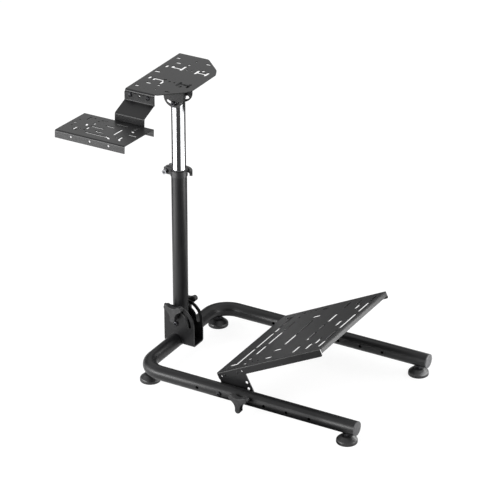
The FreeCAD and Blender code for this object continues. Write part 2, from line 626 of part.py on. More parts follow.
def clamp_lever():
    """A quick-release lever that wraps round the column's left side."""
    pivot = lever_pivot()
    barrel = rod(V(pivot.x, pivot.y, COLLAR_LOW), Z_AXIS, LEVER_BARREL_DIA, COLLAR_HEIGHT)
    low = V(0, 0, COLLAR_LOW)
    inner = COLLAR_DIA / 2 + LEVER_GAP
    ring = rod(low, Z_AXIS, 2 * (inner + LEVER_THICKNESS), LEVER_HEIGHT)
    ring = ring.cut(rod(low, Z_AXIS, 2 * inner, LEVER_HEIGHT))
    first = math.degrees(math.atan2(pivot.y, pivot.x))
    steps = 6
    fan = [low]
    for i in range(steps + 1):
        turn = math.radians(first - LEVER_SWEEP * i / steps)
        fan.append(low + V(math.cos(turn), math.sin(turn), 0) * (3 * inner))
    arm = ring.common(Part.Face(Part.makePolygon(fan + [low])).extrude(Z_AXIS * LEVER_HEIGHT))
    mouth = LEVER_MOUTH / 2
    return barrel.fuse(arm).cut([
        rod(V(pivot.x, pivot.y, COLLAR_LOW), Z_AXIS, CLAMP_BOLT_DIA + 2 * RUNNING_FIT, COLLAR_HEIGHT),
        box(pivot.x - LEVER_BARREL_DIA, -LUG_HALF, pivot.y - LEVER_BARREL_DIA, pivot.y + mouth,
            pivot.z - mouth, pivot.z + mouth),
    ]).removeSplitter()


# Mast: the plated tube that carries the wheel deck
def mast():
    low = COLUMN_TOP - MAST_IN_COLUMN
    height = TILT_PIVOT_HEIGHT + MAST_ABOVE_PIVOT - low
    bolt_hole = TILT_BOLT_DIA + 2 * RUNNING_FIT
    return rod(V(0, 0, low), Z_AXIS, MAST_DIA, height).cut([
        rod(V(0, 0, low - CUT_PAST), Z_AXIS, MAST_DIA - 2 * MAST_WALL, height + 2 * CUT_PAST),
        cross_bore(0, TILT_PIVOT_HEIGHT, bolt_hole, MAST_DIA),
        cross_bore(0, TILT_PIVOT_HEIGHT - TILT_SLOT_RADIUS, bolt_hole, MAST_DIA),
    ])


def tilt_bolt(z):
    return through_bolt(0, z, TILT_BOLT_DIA, EAR_HALF + SLIDING_GAP, TILT_HEAD_DIA, TILT_HEAD_HEIGHT,
                        TILT_SOCKET_ACROSS)


# Wheel deck: a bent bracket on the mast, the slotted plate, the arm and the side shelf
def tilt_bracket():
    """A bent channel under the plate whose two ears hold the mast."""
    half, side, top = EAR_HALF, EAR_HALF_WIDTH, DECK_UNDERSIDE
    path = [V(half, 0, EAR_BOTTOM), V(half, 0, top), V(-half, 0, top), V(-half, 0, EAR_BOTTOM)]
    channel = folded_sheet(path, EAR_PLATE, EAR_BEND, V(0, -side, 0), Y_AXIS * (2 * side))
    round_centre = EAR_BOTTOM + side
    ear = rod(V(-half, 0, round_centre), X_AXIS, 2 * side, 2 * half)
    channel = channel.common(ear.fuse(box(-half, half, -side, side, round_centre, top)))
    return channel.cut([
        cross_bore(0, TILT_PIVOT_HEIGHT, TILT_BOLT_DIA + 2 * RUNNING_FIT, half),
        arc_slot_cutter(TILT_PIVOT_HEIGHT, TILT_SLOT_RADIUS, TILT_SLOT_WIDTH,
                        180 - TILT_ANGLE, 180 + TILT_ANGLE, half + CUT_PAST),
    ])


def arm_bolt_holes():
    """The three holes through the deck's flange and the arm."""
    start = DECK_HALF_WIDTH - DECK_PLATE - CUT_PAST
    length = DECK_PLATE + ARM_SHEET + 2 * CUT_PAST
    return [rod(V(start, y, ARM_HOLE_HEIGHT), X_AXIS, ARM_HOLE_DIA, length) for y in ARM_HOLES_Y]


def wheel_plate():
    """The slotted plate with cut front corners and one turned-down edge."""
    half, rear, front, under = DECK_HALF_WIDTH, DECK_REAR_Y, DECK_FRONT_Y, DECK_UNDERSIDE
    low = DECK_TOP - DECK_FLANGE_HEIGHT
    path = [V(half, 0, low), V(half, 0, DECK_TOP), V(-half, 0, DECK_TOP)]
    sheet = folded_sheet(path, DECK_PLATE, DECK_BEND, V(0, rear, 0), Y_AXIS * (front - rear))
    relief_x = half - DECK_PLATE - DECK_BEND
    side_y = front - DECK_SIDE_FROM_FRONT
    nose_x, tip_x = half - DECK_NOSE_FROM_SIDE, half - DECK_TIP_FROM_SIDE
    outline = [(V(x, y, under), radius) for x, y, radius in (
        (-half, rear, DECK_CORNER), (relief_x, rear, 0), (relief_x, side_y + DECK_RELIEF, 0),
        (nose_x, front - DECK_NOSE_BACK, DECK_NOSE_ROUNDING), (tip_x, front, DECK_TIP_ROUNDING),
        (-tip_x, front, DECK_TIP_ROUNDING), (-nose_x, front - DECK_NOSE_BACK, DECK_NOSE_ROUNDING),
        (-half, side_y, DECK_SIDE_ROUNDING))]
    flat = rounded_face(outline).extrude(Z_AXIS * DECK_PLATE)
    edge = box(relief_x, half, rear, DECK_FLANGE_FRONT_Y, low, DECK_TOP)
    plate = sheet.common(flat.fuse(edge)).cut(arm_bolt_holes())
    middle = WHEEL_PATTERN_X
    runs = [(middle + s * a, b, middle + s * c, d) for s in (-1, 1) for a, b, c, d in WHEEL_SLOTS]
    runs.append(tuple(v + middle * (i % 2 == 0) for i, v in enumerate(WHEEL_MIDDLE_SLOT)))
    holes = [(middle + s * x, y, dia) for s in (-1, 1) for x, y, dia in WHEEL_ROUND_HOLES]
    holes += [(middle + s * WHEEL_HOLE_X, y, WHEEL_HOLE_DIA) for s in (-1, 1) for y in WHEEL_HOLE_YS]
    return cut_level(plate, runs, holes, WHEEL_SLOT_WIDTH, DECK_TOP, DECK_PLATE)


def shifter_arm():
    """A bent strip from the wheel plate's flange down to the shelf's inner edge."""
    lean = math.tan(SHELF_RISE)
    bend_z = DECK_TOP - DECK_FLANGE_HEIGHT + ARM_SHEET
    low_bend_z = bend_z - ARM_DROP
    upper_x = DECK_HALF_WIDTH + ARM_SHEET
    top = DECK_UNDERSIDE - DECK_BEND - ARM_TOP_GAP
    path = [V(SHELF_INNER_X + lean * SHELF_FLANGE, 0, SHELF_TOP - SHELF_FLANGE),
            V(SHELF_INNER_X - lean * (low_bend_z - SHELF_TOP), 0, low_bend_z),
            V(upper_x, 0, bend_z), V(upper_x, 0, top)]
    width = DECK_FLANGE_FRONT_Y - DECK_REAR_Y
    strip = folded_sheet(path, ARM_SHEET, ARM_BEND, V(0, DECK_REAR_Y, 0), Y_AXIS * width)
    return strip.cut(arm_bolt_holes())


def shifter_plate():
    """A slotted shelf with a turned-down edge along each long side."""
    top, inner, outer = SHELF_TOP, SHELF_INNER_X, SHELF_INNER_X + SHELF_WIDTH
    rear, front, low = SHELF_REAR_Y, SHELF_FRONT_Y, SHELF_TOP - SHELF_FLANGE
    path = [V(outer, 0, low), V(outer, 0, top), V(inner, 0, top), V(inner, 0, low)]
    shelf = folded_sheet(path, SHELF_SHEET, SHELF_BEND, V(0, rear, 0), Y_AXIS * (front - rear))
    middle = (rear + front) / 2
    hole_start = outer - SHELF_SHEET - CUT_PAST
    hole_depth = SHELF_SHEET + 2 * CUT_PAST
    for i in (-1, 0, 1):
        start = V(hole_start, middle + i * SHELF_FLANGE_HOLE_PITCH, top - SHELF_FLANGE / 2)
        shelf = shelf.cut(rod(start, X_AXIS, SHELF_FLANGE_HOLE_DIA, hole_depth))
    runs = [(inner + a, middle + b, inner + c, middle + d) for a, b, c, d in SHELF_SLOTS]
    holes = [(inner + x, middle + y, dia) for x, y, dia in SHELF_ROUND_HOLES]
    shelf = cut_level(shelf, runs, holes, SHELF_SLOT_WIDTH, top, SHELF_SHEET)
    return turned(shelf, V(inner, 0, top), Y_AXIS, -SHELF_RISE_ANGLE)


# Pedal deck: a sloping slotted plate between two brackets bolted to the legs
def on_slope(shape):
    """Move a shape drawn level, with the low edge at y = 0 and the top at z = 0, on to the slope."""
    copy = turned(shape, V(0, 0, 0), X_AXIS, PEDAL_TILT)
    copy.translate(V(0, PEDAL_LOW_Y, PEDAL_LOW_HEIGHT))
    return copy


def pedal_slots():
    """Both ends of every slot of the pedal plate; a row that starts at the middle is one slot."""
    rows = PEDAL_LOW_ROWS + [(PEDAL_LENGTH - down, a, b) for down, a, b in PEDAL_HEAD_ROWS]
    runs = []
    for s, a, b in rows:
        if a == 0:
            runs.append((-b, s, b, s))
        else:
            runs += [(-b, s, -a, s), (a, s, b, s)]
    return runs


def pedal_side_bolt_holes():
    """Holes along X through the side flanges and the brackets, in the level frame."""
    reach = PEDAL_HALF_WIDTH + CUT_PAST
    return [rod(V(-reach, s, -down), X_AXIS, PEDAL_SIDE_BOLT_DIA, 2 * reach) for s, down in PEDAL_SIDE_BOLTS]


def pedal_plate():
    """A plate with turned-down sides and a turned-down head between them."""
    half, length, t, low = PEDAL_HALF_WIDTH, PEDAL_LENGTH, PEDAL_SHEET, -PEDAL_SIDE_FLANGE
    side_end = length - PEDAL_FLANGE_SETBACK
    path = [V(half, 0, low), V(half, 0, 0), V(-half, 0, 0), V(-half, 0, low)]
    tray = folded_sheet(path, t, PEDAL_BEND, V(0, 0, 0), Y_AXIS * side_end)
    side_view = rounded_face([
        (V(-half, 0, low), PEDAL_FLANGE_ROUNDING), (V(-half, side_end, low), PEDAL_FLANGE_ROUNDING),
        (V(-half, side_end, 0), 0), (V(-half, 0, 0), 0)])
    tray = tray.common(side_view.extrude(X_AXIS * (2 * half)))
    flat, overlap = half - t - PEDAL_BEND, 2 * (t + PEDAL_BEND)
    head_path = [V(0, length - overlap, 0), V(0, length, 0), V(0, length, -PEDAL_HEAD_FLANGE)]
    head = folded_sheet(head_path, t, PEDAL_BEND, V(-flat, 0, 0), X_AXIS * (2 * flat))
    plate = tray.fuse(head).removeSplitter().cut(pedal_side_bolt_holes())
    holes = [(side * x, s, dia) for side in (-1, 1) for x, s, dia in PEDAL_ROUND_HOLES]
    plate = cut_level(plate, pedal_slots(), holes, PEDAL_SLOT_WIDTH, 0, t)
    up_slots = [(side * x, a, side * x, b) for side in (-1, 1) for x, a, b in PEDAL_UP_SLOTS]
    return on_slope(cut_level(plate, up_slots, [], PEDAL_UP_SLOT_WIDTH, 0, t))


def pedal_bracket(side):
    """A side plate from inside the pedal plate's flange down to the leg's two bolts."""
    tilt = math.radians(PEDAL_TILT)
    z, r = BASE_AXIS_HEIGHT, PEDAL_BRACKET_END_RADIUS
    down = PEDAL_SHEET + PEDAL_BEND + SEAT_GAP

    def below_plate(s):
        return V(0, PEDAL_LOW_Y + s * math.cos(tilt) + down * math.sin(tilt),
                 PEDAL_LOW_HEIGHT + s * math.sin(tilt) - down * math.cos(tilt))

    outline = rounded_face([
        (below_plate(PEDAL_BRACKET_CORNER), PEDAL_BRACKET_CORNER / 2),
        (V(0, PEDAL_PIVOT_Y - r, z), r),
        (V(0, PEDAL_PIVOT_Y - r, z - r), r - RUNNING_FIT),
        (V(0, PEDAL_KNOB_Y + r, z - r), r - RUNNING_FIT),
        (V(0, PEDAL_KNOB_Y + r, z + PEDAL_BRACKET_SHOULDER), PEDAL_BRACKET_SHOULDER_ROUNDING),
        (below_plate(PEDAL_BRACKET_HEAD), PEDAL_BRACKET_CORNER),
    ])
    plate = outline.extrude(V(PEDAL_BRACKET_PLATE, 0, 0))
    plate.translate(V(PEDAL_BRACKET_X, 0, 0))
    span = PEDAL_KNOB_Y - PEDAL_PIVOT_Y
    holes = [cross_bore(y, z, LEG_HOLE_DIA, LEG_X) for y in (PEDAL_PIVOT_Y, PEDAL_KNOB_Y)]
    for angle in PEDAL_INDEX_ANGLES:
        turn = math.radians(angle)
        index_y = PEDAL_PIVOT_Y + span * math.cos(turn)
        holes.append(cross_bore(index_y, z + span * math.sin(turn), LEG_HOLE_DIA, LEG_X))
    plate = plate.cut(holes + [on_slope(hole) for hole in pedal_side_bolt_holes()])
    return mirrored(plate, side)


def leg_bolt(y, reach):
    """A bolt along X from the bracket's nut through the right leg, which stands out by reach."""
    outer, z = LEG_X + BASE_TUBE_RADIUS, BASE_AXIS_HEIGHT
    nut_x = PEDAL_BRACKET_X - LEG_NUT_HEIGHT
    spacer_x = PEDAL_BRACKET_X + PEDAL_BRACKET_PLATE
    shank = rod(V(nut_x, y, z), X_AXIS, LEG_BOLT_DIA, outer - nut_x + reach)
    nut = hexagon(V(nut_x, y, z), X_AXIS, LEG_NUT_ACROSS, LEG_NUT_HEIGHT)
    spacer = rod(V(spacer_x, y, z), X_AXIS, LEG_SPACER_DIA, LEG_X - BASE_TUBE_RADIUS - spacer_x)
    return shank.fuse([nut, spacer])


def pedal_pivot_bolt(side):
    head = button_head(V(LEG_X + BASE_TUBE_RADIUS, PEDAL_PIVOT_Y, BASE_AXIS_HEIGHT), LEG_BOLT_HEAD_DIA,
                       LEG_BOLT_HEAD_HEIGHT, CLAMP_SOCKET_ACROSS)
    return mirrored(leg_bolt(PEDAL_PIVOT_Y, 0).fuse(head).removeSplitter(), side)


def pedal_screw(side):
    """The knob's screw, which ends in the bracket's nut."""
    reach = SLIDING_GAP + KNOB_HEIGHT - KNOB_END_WALL - CUT_PAST
    return mirrored(leg_bolt(PEDAL_KNOB_Y, reach).removeSplitter(), side)


def pedal_knob(side):
    return knob(side * PEDAL_KNOB_FACE_X, PEDAL_KNOB_Y, BASE_AXIS_HEIGHT, side, LEG_BOLT_DIA)


def all_parts():
    """Every piece by name, moved so that the stand's origin is under its middle."""
    parts = {"base_tube": base_tube()}
    for name, place in foot_places().items():
        parts["foot_" + name] = foot(place)
        parts["foot_stud_" + name] = foot_stud(place)
    parts["column_bracket"] = column_bracket()
    parts["column_pivot_bolt"] = column_pivot_bolt()
    parts["outer_tube"] = outer_tube()
    parts["bushing"] = bushing()
    parts["clamp_collar"] = clamp_collar()
    parts["clamp_bolt"] = clamp_bolt()
    parts["clamp_lever"] = clamp_lever()
    parts["lock_bolt"] = lock_bolt()
    parts["mast"] = mast()
    parts["tilt_pivot_bolt"] = tilt_bolt(TILT_PIVOT_HEIGHT)
    parts["tilt_lock_bolt"] = tilt_bolt(TILT_PIVOT_HEIGHT - TILT_SLOT_RADIUS)
    parts["tilt_bracket"] = tilt_bracket()
    parts["wheel_plate"] = wheel_plate()
    parts["shifter_arm"] = shifter_arm()
    parts["shifter_plate"] = shifter_plate()
    parts["pedal_plate"] = pedal_plate()
    for name, side in (("right", 1), ("left", -1)):
        parts["end_cap_" + name] = end_cap(side)
        parts["lock_knob_" + name] = lock_knob(side)
        parts["pedal_bracket_" + name] = pedal_bracket(side)
        parts["pedal_pivot_bolt_" + name] = pedal_pivot_bolt(side)
        parts["pedal_screw_" + name] = pedal_screw(side)
        parts["pedal_knob_" + name] = pedal_knob(side)
    for shape in parts.values():
        shape.translate(V(-ORIGIN_X, -ORIGIN_Y, 0))
    return parts


os.makedirs("parts", exist_ok=True)
for node, shape in all_parts().items():
    shape.exportStep("parts/" + node + ".step")
    print(node, shape.isValid(), len(shape.Solids), round(shape.Volume))
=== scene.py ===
"""A folding stand for a racing wheel, a shifter and pedals: black coated tube and sheet, chrome mast."""
import math

import bmesh
import bpy
from mathutils import Matrix, Vector


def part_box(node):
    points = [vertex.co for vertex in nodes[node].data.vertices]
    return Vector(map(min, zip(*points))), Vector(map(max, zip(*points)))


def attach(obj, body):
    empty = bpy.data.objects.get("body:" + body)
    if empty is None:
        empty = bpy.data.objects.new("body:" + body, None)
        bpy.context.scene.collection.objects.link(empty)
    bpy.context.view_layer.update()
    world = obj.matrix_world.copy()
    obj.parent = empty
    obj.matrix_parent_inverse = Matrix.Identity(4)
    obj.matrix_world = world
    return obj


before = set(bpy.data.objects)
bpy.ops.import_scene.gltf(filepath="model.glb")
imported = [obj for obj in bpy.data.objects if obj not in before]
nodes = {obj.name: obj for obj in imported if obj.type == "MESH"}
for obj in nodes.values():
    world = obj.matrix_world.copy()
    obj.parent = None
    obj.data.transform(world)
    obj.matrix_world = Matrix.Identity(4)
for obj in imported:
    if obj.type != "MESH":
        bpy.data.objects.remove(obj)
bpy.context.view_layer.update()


# Base tube: one steel tube bent to a U, drilled through along both legs, where the pedal deck is bolted.
# It is sprayed with black polyester powder and baked, which leaves a satin skin with a faint orange peel.
# The real peel, 1 to 2 mm wide, is too fine to show, so it is drawn at 3 mm and its pinholes at half that.
TUBE_RADIUS = 0.021
COAT_DARK, COAT_LIGHT = "#0f0f10", "#151516"
COAT_GLOSS, COAT_MATT = 0.33, 0.41
COAT_MIRROR = 0.34
PATCH_MM = 70.0
PEEL_MM, PEEL_STRENGTH, PEEL_DEPTH = 3.0, 0.25, 0.00012
PINHOLE_MM, PINHOLE_STRENGTH, PINHOLE_DEPTH = 1.5, 0.08, 0.0001
RAMP_STOPS = (0.35, 0.65)
PLASTIC_IOR = 1.5


def linear(hex_colour):
    """An sRGB hex colour as linear red, green, blue and alpha."""
    parts = [int(hex_colour[i:i + 2], 16) / 255 for i in (1, 3, 5)]
    return [c / 12.92 if c <= 0.04045 else ((c + 0.055) / 1.055) ** 2.4 for c in parts] + [1.0]


def per_metre(millimetres):
    """A noise scale whose features are this wide."""
    return 1000.0 / millimetres


def add_node(tree, kind, values=None, links=None, tones=None, **settings):
    """Add a shader node with its attributes, values, links from (node, output) pairs and ramp colours."""
    node = tree.nodes.new(kind)
    for name, value in settings.items():
        setattr(node, name, value)
    for name, value in (values or {}).items():
        node.inputs[name].default_value = value
    for name, (source, output) in (links or {}).items():
        tree.links.new(source.outputs[output], node.inputs[name])
    for i, tone in enumerate(tones or ()):
        node.color_ramp.elements[i].position = RAMP_STOPS[i]
        node.color_ramp.elements[i].color = linear(tone)
    return node


def new_material(name):
    """An empty node material and its tree."""
    material = bpy.data.materials.new(name)
    material.use_nodes = True
    material.node_tree.nodes.clear()
    return material, material.node_tree


def powder_coat(name):
    """Baked polyester powder: black, satin in slow patches, with a soft orange peel and fine pinholes."""
    material, tree = new_material(name)
    where = (add_node(tree, "ShaderNodeTexCoord"), "Object")
    patches = add_node(tree, "ShaderNodeTexNoise", {"Scale": per_metre(PATCH_MM), "Detail": 4.0},
                       {"Vector": where})
    peel = add_node(tree, "ShaderNodeTexNoise", {"Scale": per_metre(PEEL_MM), "Detail": 2.0},
                    {"Vector": where})
    pinholes = add_node(tree, "ShaderNodeTexVoronoi", {"Scale": per_metre(PINHOLE_MM)}, {"Vector": where})
    colour = add_node(tree, "ShaderNodeValToRGB", links={"Fac": (patches, "Fac")},
                      tones=(COAT_DARK, COAT_LIGHT))
    satin = add_node(tree, "ShaderNodeMapRange", {"To Min": COAT_GLOSS, "To Max": COAT_MATT},
                     {"Value": (patches, "Fac")})
    soft = add_node(tree, "ShaderNodeBump", {"Strength": PEEL_STRENGTH, "Distance": PEEL_DEPTH},
                    {"Height": (peel, "Fac")})
    fine = add_node(tree, "ShaderNodeBump", {"Strength": PINHOLE_STRENGTH, "Distance": PINHOLE_DEPTH},
                    {"Height": (pinholes, "Distance"), "Normal": (soft, "Normal")})
    skin = add_node(tree, "ShaderNodeBsdfPrincipled",
                    {"IOR": PLASTIC_IOR, "Specular IOR Level": COAT_MIRROR},
                    {"Base Color": (colour, "Color"), "Roughness": (satin, "Result"),
                     "Normal": (fine, "Normal")})
    add_node(tree, "ShaderNodeOutputMaterial", links={"Surface": (skin, "BSDF")})
    return material


def dress(material, *names):
    """Give CAD nodes their material."""
    for name in names:
        nodes[name].data.materials.clear()
        nodes[name].data.materials.append(material)


coat = powder_coat("black_powder_coat")
dress(coat, "base_tube")

# End caps: round plugs of grey polyethylene, injection moulded and pushed into the legs' open ends.
# Their faces keep the mould's spark-eroded grain, which makes them dull, and slow flow patches of two greys.
# The real grain of all the mouldings is 0.1 to 0.4 mm, too fine to show, and is drawn at 1 to 2.5 mm.
CAP_DARK, CAP_LIGHT = "#4e4e4f", "#59595a"
FLOW_MM = 12.0
DULL_SPREAD = 0.06
GRAIN_STRENGTH = 0.5


def moulded_plastic(name, dark, light, grain_mm, roughness, depth, mirror=0.5):
    """Injection-moulded plastic: a grain of this width and depth, and this share of a mirror's shine."""
    material, tree = new_material(name)
    where = (add_node(tree, "ShaderNodeTexCoord"), "Object")
    flow = add_node(tree, "ShaderNodeTexNoise", {"Scale": per_metre(FLOW_MM), "Detail": 3.0},
                    {"Vector": where})
    grain = add_node(tree, "ShaderNodeTexNoise", {"Scale": per_metre(grain_mm), "Detail": 3.0},
                     {"Vector": where})
    colour = add_node(tree, "ShaderNodeValToRGB", links={"Fac": (flow, "Fac")}, tones=(dark, light))
    dull = add_node(tree, "ShaderNodeMapRange",
                    {"To Min": roughness - DULL_SPREAD, "To Max": roughness + DULL_SPREAD},
                    {"Value": (grain, "Fac")})
    bump = add_node(tree, "ShaderNodeBump", {"Strength": GRAIN_STRENGTH, "Distance": depth},
                    {"Height": (grain, "Fac")})
    skin = add_node(tree, "ShaderNodeBsdfPrincipled",
                    {"IOR": PLASTIC_IOR, "Specular IOR Level": mirror},
                    {"Base Color": (colour, "Color"), "Roughness": (dull, "Result"),
                     "Normal": (bump, "Normal")})
    add_node(tree, "ShaderNodeOutputMaterial", links={"Surface": (skin, "BSDF")})
    return material


grey_polyethylene = moulded_plastic("grey_polyethylene", CAP_DARK, CAP_LIGHT, grain_mm=1.2, roughness=0.7,
                                    depth=0.0002, mirror=0.2)
dress(grey_polyethylene, "end_cap_right", "end_cap_left")

# Feet: domed pads of hard black rubber, moulded in one piece round a steel insert, each on a threaded stud
# whose nut locks it against the tube. The rubber has a dull sheen from its mould's fine grain.
RUBBER_DARK, RUBBER_LIGHT = "#0f0f10", "#161617"
feet = ["front_right", "front_left", "rear_right", "rear_left"]
hard_rubber = moulded_plastic("hard_rubber", RUBBER_DARK, RUBBER_LIGHT, grain_mm=1.6, roughness=0.42,
                              depth=0.0002)
dress(hard_rubber, *["foot_" + foot for foot in feet])

# Column bracket: a bent steel channel that the cross tube passes through, welded on round the tube.
# The weld is a rippled steel bead under the same black coat as the bracket.
WELD_RADIUS = 0.0016
WELD_RIPPLE = 0.0028
WELD_SWELL = 0.12
WELD_SIDES = 10
# Degrees round the tube: the bead's start, its length and its steps
WELD_FROM, WELD_TURN, WELD_STEP = -28, 236, 4
SHARP_FROM = math.radians(35)


def piece(name, mesh, material, body):
    """Finish a bmesh as a piece of the scene, smooth up to its sharp edges, that rides on a body."""
    bmesh.ops.recalc_face_normals(mesh, faces=mesh.faces)
    data = bpy.data.meshes.new(name)
    mesh.to_mesh(data)
    mesh.free()
    data.materials.append(material)
    data.shade_smooth()
    data.set_sharp_from_angle(angle=SHARP_FROM)
    made = bpy.data.objects.new(name, data)
    bpy.context.scene.collection.objects.link(made)
    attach(made, body)


dress(coat, "column_bracket")
tube_low, tube_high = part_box("outer_tube")
column = Vector(((tube_low.x + tube_high.x) / 2, (tube_low.y + tube_high.y) / 2, 0.0))
bracket_low, bracket_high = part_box("column_bracket")
cross_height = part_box("end_cap_right")[0].z + TUBE_RADIUS
for side, face_x in (("right", bracket_high.x), ("left", bracket_low.x)):
    bead = bmesh.new()
    bmesh.ops.create_circle(bead, segments=WELD_SIDES, radius=WELD_RADIUS, cap_ends=True,
                            matrix=Matrix.Translation((face_x, TUBE_RADIUS, 0)))
    bmesh.ops.rotate(bead, verts=bead.verts, cent=(0, 0, 0),
                     matrix=Matrix.Rotation(math.radians(WELD_FROM), 3, "X"))
    bmesh.ops.spin(bead, geom=bead.verts[:] + bead.edges[:] + bead.faces[:], cent=(0, 0, 0), axis=(1, 0, 0),
                   angle=math.radians(WELD_TURN), steps=WELD_TURN // WELD_STEP)
    for vert in bead.verts:
        turn = math.atan2(vert.co.z, vert.co.y)
        middle = Vector((face_x, math.cos(turn) * TUBE_RADIUS, math.sin(turn) * TUBE_RADIUS))
        swell = 1 + WELD_SWELL * math.sin(turn * TUBE_RADIUS / WELD_RIPPLE * math.tau)
        vert.co = middle + (vert.co - middle) * swell
    bmesh.ops.translate(bead, verts=bead.verts, vec=(0, column.y, cross_height))
    piece("bracket_weld_" + side, bead, coat, "base")

# Bolts: socket-head bolts, lock nuts and the feet's studs, in steel blackened by hot oxide and oiled, and
# the clamp's bolt in bright zinc. Turning leaves fine rings on their faces that break up the light. The real
# ones are 0.1 mm apart and too fine to show, so they are drawn 0.8 to 1 mm wide.
OXIDE_DARK, OXIDE_LIGHT = "#2a2a2c", "#434346"
ZINC_DARK, ZINC_LIGHT = "#5c5d5f", "#808184"
CLOUD_MM = 9.0
SHINE_LEAST, SHINE_MOST = 0.8, 1.3
LINE_STRENGTH, LINE_DEPTH = 0.15, 0.00005


def bare_metal(name, dark, light, roughness, line_mm, stretch):
    """Turned or drawn metal: tool lines of this width, run out along one direction, break up its shine."""
    material, tree = new_material(name)
    where = add_node(tree, "ShaderNodeTexCoord")
    along = add_node(tree, "ShaderNodeMapping", {"Scale": stretch}, {"Vector": (where, "Object")})
    lines = add_node(tree, "ShaderNodeTexNoise", {"Scale": per_metre(line_mm), "Detail": 3.0},
                     {"Vector": (along, "Vector")})
    clouds = add_node(tree, "ShaderNodeTexNoise", {"Scale": per_metre(CLOUD_MM), "Detail": 3.0},
                      {"Vector": (where, "Object")})
    colour = add_node(tree, "ShaderNodeValToRGB", links={"Fac": (clouds, "Fac")}, tones=(dark, light))
    shine = add_node(tree, "ShaderNodeMapRange",
                     {"To Min": roughness * SHINE_LEAST, "To Max": roughness * SHINE_MOST},
                     {"Value": (lines, "Fac")})
    bump = add_node(tree, "ShaderNodeBump", {"Strength": LINE_STRENGTH, "Distance": LINE_DEPTH},
                    {"Height": (lines, "Fac")})
    skin = add_node(tree, "ShaderNodeBsdfPrincipled", {"Metallic": 1.0}, {
        "Base Color": (colour, "Color"), "Roughness": (shine, "Result"), "Normal": (bump, "Normal")})
    add_node(tree, "ShaderNodeOutputMaterial", links={"Surface": (skin, "BSDF")})
    return material


oxide = bare_metal("black_oxide_steel", OXIDE_DARK, OXIDE_LIGHT, roughness=0.38, line_mm=0.8,
                   stretch=(0.2, 1.0, 1.0))
zinc = bare_metal("zinc_plated_steel", ZINC_DARK, ZINC_LIGHT, roughness=0.28, line_mm=1.0,
                  stretch=(1.0, 1.0, 1.0))
dress(oxide, "column_pivot_bolt", "tilt_pivot_bolt", "tilt_lock_bolt", "lock_bolt",
      "pedal_pivot_bolt_right", "pedal_pivot_bolt_left", "pedal_screw_right", "pedal_screw_left",
      *["foot_stud_" + foot for foot in feet])
dress(zinc, "clamp_bolt")

# Nylon rings: the white collars of polyamide in three of the lock nuts, which grip their bolts' threads.
# They are pressed into the nuts and stand a millimetre proud, dull white against the black steel.
NYLON_DARK, NYLON_LIGHT = "#b9bab8", "#d2d3d0"
RING_INNER, RING_OUTER, RING_BEVEL = 0.8, 1.35, 0.1
RING_SUNK, RING_WALL, RING_PROUD = 0.0004, 0.0006, 0.0010
# Each nut's bolt, with its body and its shank's radius
RING_NUTS = {"column_pivot_bolt": ("base", 0.005), "tilt_pivot_bolt": ("mast", 0.004),
             "tilt_lock_bolt": ("mast", 0.004)}
TURN_STEPS = 24
SAME_PLACE = 1e-6


def turned(profile):
    """A shape turned round Z from (radius, height) pairs, its seam and poles closed."""
    mesh = bmesh.new()
    line = [mesh.verts.new((radius, 0, height)) for radius, height in profile]
    edges = [mesh.edges.new(pair) for pair in zip(line, line[1:])]
    bmesh.ops.spin(mesh, geom=line + edges, cent=(0, 0, 0), axis=(0, 0, 1), angle=math.tau, steps=TURN_STEPS,
                   use_merge=True)
    bmesh.ops.remove_doubles(mesh, verts=mesh.verts, dist=SAME_PLACE)
    return mesh


def aimed(mesh, place, way):
    """The mesh moved so that its Z axis points the given way from a place."""
    turn = Vector(way).to_track_quat("Z", "Y").to_matrix().to_4x4()
    bmesh.ops.transform(mesh, matrix=Matrix.Translation(place) @ turn, verts=mesh.verts)
    return mesh


nylon = moulded_plastic("white_nylon", NYLON_DARK, NYLON_LIGHT, grain_mm=1.0, roughness=0.45, depth=0.0001)
for name, (body, shank) in RING_NUTS.items():
    low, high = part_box(name)
    centre = (low + high) / 2
    inner, outer, bevel = shank * RING_INNER, shank * RING_OUTER, shank * RING_BEVEL
    ring = turned([(inner, -RING_SUNK), (outer, -RING_SUNK), (outer, RING_WALL), (outer - bevel, RING_PROUD),
                   (inner + bevel, RING_PROUD), (inner, RING_WALL), (inner, -RING_SUNK)])
    aimed(ring, (low.x, centre.y, centre.z), (-1, 0, 0))
    piece(name.replace("bolt", "nut_ring"), ring, nylon, body)

# Hand knobs: three-lobed knobs of glass-filled black nylon, moulded round a steel hub, two for the column
# and two for the pedal deck. A coarse spark-eroded grain makes them matt.
KNOB_DARK, KNOB_LIGHT = "#1a1a1b", "#262627"
knob_nylon = moulded_plastic("glass_filled_nylon", KNOB_DARK, KNOB_LIGHT, grain_mm=2.0, roughness=0.55,
                             depth=0.0006)
dress(knob_nylon, "lock_knob_right", "lock_knob_left", "pedal_knob_right", "pedal_knob_left")

# Column: a straight steel tube in the same black coat, with a moulded black bushing pressed into its top,
# in which the mast slides.
dress(coat, "outer_tube")
dress(knob_nylon, "bushing")

# Clamp: a split collar of die-cast aluminium on the column's top, painted black, with a quick-release
# lever of the same metal. Its surface keeps the slightly pitted skin of the casting.
CAST_DARK, CAST_LIGHT = "#141415", "#202021"
cast = moulded_plastic("painted_die_casting", CAST_DARK, CAST_LIGHT, grain_mm=2.5, roughness=0.42,
                       depth=0.0004)
dress(cast, "clamp_collar", "clamp_lever")

